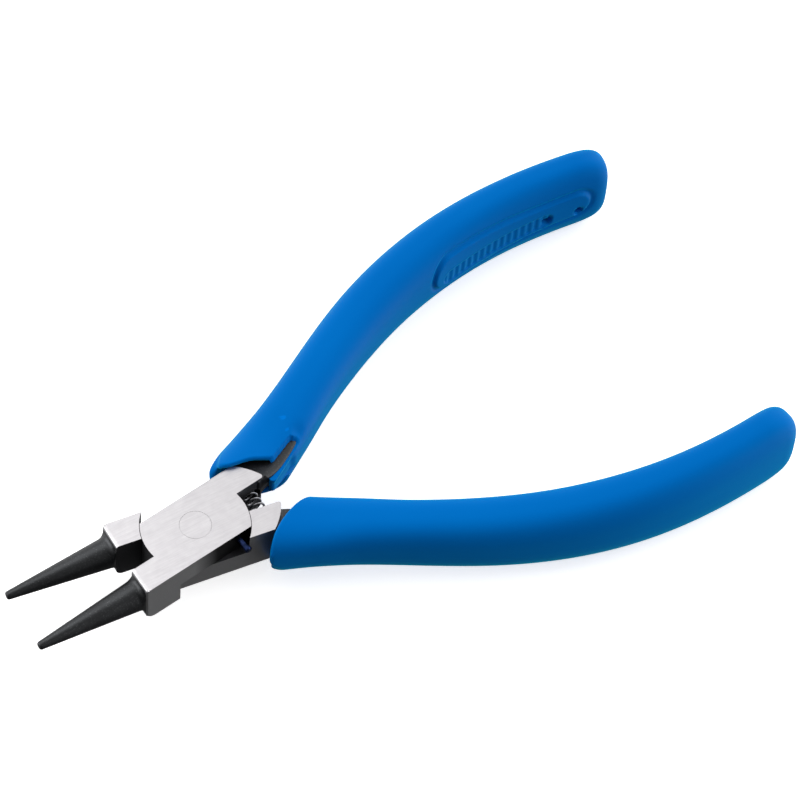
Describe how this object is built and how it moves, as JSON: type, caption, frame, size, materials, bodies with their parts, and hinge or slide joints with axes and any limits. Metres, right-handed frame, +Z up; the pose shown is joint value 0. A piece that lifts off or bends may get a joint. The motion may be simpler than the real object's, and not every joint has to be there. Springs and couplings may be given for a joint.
{
  "type": "round nose pliers",
  "caption": "Small spring-opened round nose pliers with long tapered black jaws, a ground lap joint and long blue moulded handles.",
  "frame": {"origin": "on the pivot axis, at the ground underside of the joint", "axes": "+X from the jaws to the handles, +Y towards the handle of the upper lever, +Z up along the pivot axis"},
  "size_m": [0.1285, 0.0691, 0.0158],
  "materials": {
    "forged_steel": "black oxide, with ground satin faces at the joint",
    "ground_steel": "ground satin",
    "spring_steel": "drawn wire",
    "blued_steel": "heat blued, polished",
    "blue_plastic": "satin, moulded"
  },
  "bodies": {
    "lower_lever": {"lever_lower": "forged_steel", "pivot_rivet": "ground_steel", "return_spring": "spring_steel", "grip_lower": "blue_plastic"},
    "upper_lever": {"lever_upper": "forged_steel", "stop_pin": "blued_steel", "grip_upper": "blue_plastic"}
  },
  "joints": [
    {"name": "pivot", "type": "hinge", "parent": "lower_lever", "child": "upper_lever", "pos_m": [0, 0, 0.0041], "axis": [0, 0, -1], "range_deg": [0, 16.8], "stiffness_Nm_per_rad": 0.8, "springref_deg": -11.46, "deforming": ["return_spring"]}
  ]
}
